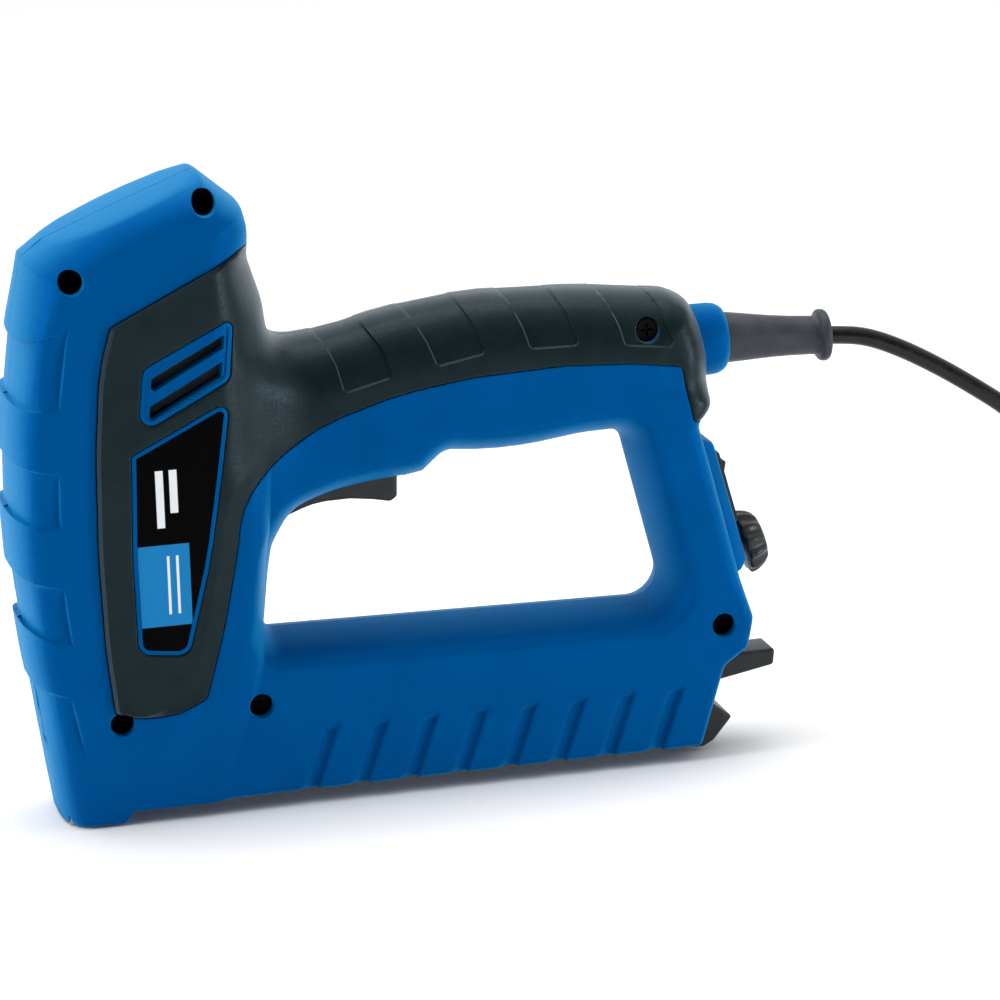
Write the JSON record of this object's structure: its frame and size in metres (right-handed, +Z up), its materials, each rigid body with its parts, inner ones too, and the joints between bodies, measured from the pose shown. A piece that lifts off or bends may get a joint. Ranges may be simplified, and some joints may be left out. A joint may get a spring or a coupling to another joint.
{
  "type": "electric stapler",
  "caption": "Hand-held mains stapler with a closed D-handle, solenoid head, squeeze trigger, power dial and a rear-drawing staple magazine.",
  "frame": {"origin": "under the driver blade, on the middle plane, on the plane that the nose presses against the work", "axes": "+X rearward along the staple magazine, +Y to the tool's right, +Z up along the driver's stroke"},
  "size_m": [0.3255, 0.062, 0.1987],
  "materials": {
    "housing_blue": "fine-textured moulded ABS",
    "soft_grip": "satin thermoplastic rubber",
    "label_gloss": "gloss",
    "black_plastic": "glass-filled nylon",
    "dial_plastic": "satin",
    "bright_steel": "zinc plated",
    "black_steel": "black oxide",
    "copper_wire": "enamelled copper",
    "nylon": "natural nylon",
    "sleeve_rubber": "satin",
    "cord_sheath": "soft PVC with a shine",
    "brown_wire": "PVC",
    "blue_wire": "PVC",
    "board_green": "solder resist",
    "aluminium": "as extruded"
  },
  "bodies": {
    "housing": {"left_shell": "housing_blue", "right_shell": "housing_blue", "left_grip": "soft_grip", "right_grip": "soft_grip", "left_label": "label_gloss", "right_label": "label_gloss", "housing_screw_1": "black_steel", "housing_screw_2": "black_steel", "housing_screw_3": "black_steel", "housing_screw_4": "black_steel", "housing_screw_5": "black_steel", "housing_screw_6": "black_steel", "control_panel": "housing_blue", "rocker_switch_body": "black_plastic", "potentiometer": "black_steel", "cord_sleeve": "sleeve_rubber", "power_cord": "cord_sheath", "live_core": "brown_wire", "neutral_core": "blue_wire", "cord_clamp": "black_plastic", "cord_clamp_screw_1": "bright_steel", "cord_clamp_screw_2": "bright_steel", "solenoid_bobbin": "nylon", "solenoid_coil": "copper_wire", "solenoid_yoke": "black_steel", "return_spring": "bright_steel", "lower_bumper": "sleeve_rubber", "upper_bumper": "sleeve_rubber", "nose_plate": "bright_steel", "blade_guide": "bright_steel", "magazine_channel": "bright_steel", "latch_pin": "bright_steel", "latch_spring": "bright_steel", "trigger_pin": "bright_steel", "trigger_spring": "bright_steel", "trigger_switch": "black_plastic", "circuit_board": "board_green", "capacitor": "label_gloss", "triac": "black_plastic", "heat_sink": "aluminium"},
    "driver": {"plunger": "bright_steel", "blade_carrier": "black_steel", "carrier_pin": "bright_steel", "driver_blade": "bright_steel"},
    "trigger": {"trigger": "black_plastic"},
    "switch_button": {"switch_button": "nylon"},
    "power_rocker": {"power_rocker": "black_plastic"},
    "power_dial": {"power_dial": "dial_plastic", "dial_shaft": "bright_steel"},
    "magazine": {"staple_rail": "bright_steel", "magazine_end_cap": "black_plastic", "pusher_rod": "bright_steel", "pusher_spring": "bright_steel"},
    "pusher": {"staple_pusher": "black_steel"},
    "latch": {"magazine_latch": "black_plastic"}
  },
  "joints": [
    {"name": "driver_stroke", "type": "slide", "parent": "housing", "child": "driver", "axis": [0, 0, -1], "range_m": [0, 0.016], "stiffness_N_per_m": 600, "springref_m": -0.008, "deforming": ["return_spring"]},
    {"name": "trigger_pull", "type": "hinge", "parent": "housing", "child": "trigger", "pos_m": [0.071, 0, 0.1035], "axis": [0, -1, 0], "range_deg": [0, 9], "deforming": ["trigger_spring"]},
    {"name": "switch_press", "type": "slide", "parent": "housing", "child": "switch_button", "axis": [0, 0, 1], "range_m": [0, 0.0037]},
    {"name": "rocker_tilt", "type": "hinge", "parent": "housing", "child": "power_rocker", "pos_m": [0.20764, 0, 0.08444], "axis": [0, -1, 0], "range_deg": [0, 20]},
    {"name": "dial_turn", "type": "hinge", "parent": "housing", "child": "power_dial", "pos_m": [0.20848, 0, 0.06249], "axis": [0.9703, 0, 0.2419], "range_deg": [0, 270]},
    {"name": "magazine_draw", "type": "slide", "parent": "housing", "child": "magazine", "axis": [1, 0, 0], "range_m": [0, 0.11]},
    {"name": "pusher_travel", "type": "slide", "parent": "magazine", "child": "pusher", "axis": [1, 0, 0], "range_m": [0, 0.1], "stiffness_N_per_m": 40, "springref_m": -0.04, "deforming": ["pusher_spring"]},
    {"name": "latch_press", "type": "hinge", "parent": "housing", "child": "latch", "pos_m": [0.197, 0, 0.0276], "axis": [0, 1, 0], "range_deg": [0, 8], "deforming": ["latch_spring"]}
  ],
  "couplings": [
    {"joint": "switch_press", "follows": "trigger_pull", "m_per_rad": 0.0225}
  ]
}
